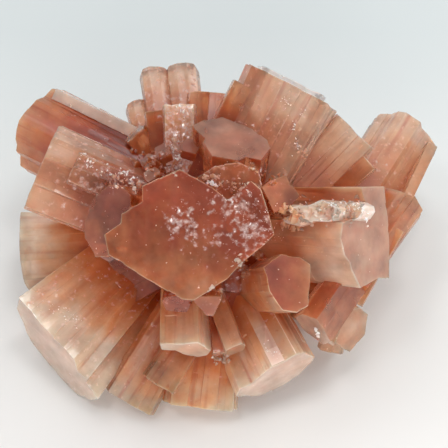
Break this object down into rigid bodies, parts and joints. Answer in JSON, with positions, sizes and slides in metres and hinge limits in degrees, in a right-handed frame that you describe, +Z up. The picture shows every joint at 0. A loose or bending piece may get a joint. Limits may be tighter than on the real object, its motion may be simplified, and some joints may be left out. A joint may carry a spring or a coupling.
{
  "type": "crystal cluster",
  "caption": "Star-shaped cluster of stubby six-sided mineral crystals that grew together as one stone; rests on worn crystal ends as a display piece or paperweight.",
  "frame": {"origin": "middle of the bounding box seen from above, on the surface that the stone stands on", "axes": "+Z is up as the stone rests; +X is the right-hand side of the pictured view; -Y faces the viewer, and the largest crystal points up and forwards, halfway between +Z and -Y"},
  "size_m": [0.062, 0.047, 0.0387],
  "materials": {
    "aragonite": "satin, translucent orange-brown, finely ribbed on the crystals' sides and glassier on their flat ends"
  },
  "bodies": {
    "root": {"aragonite_cluster": "aragonite"}
  },
  "joints": []
}
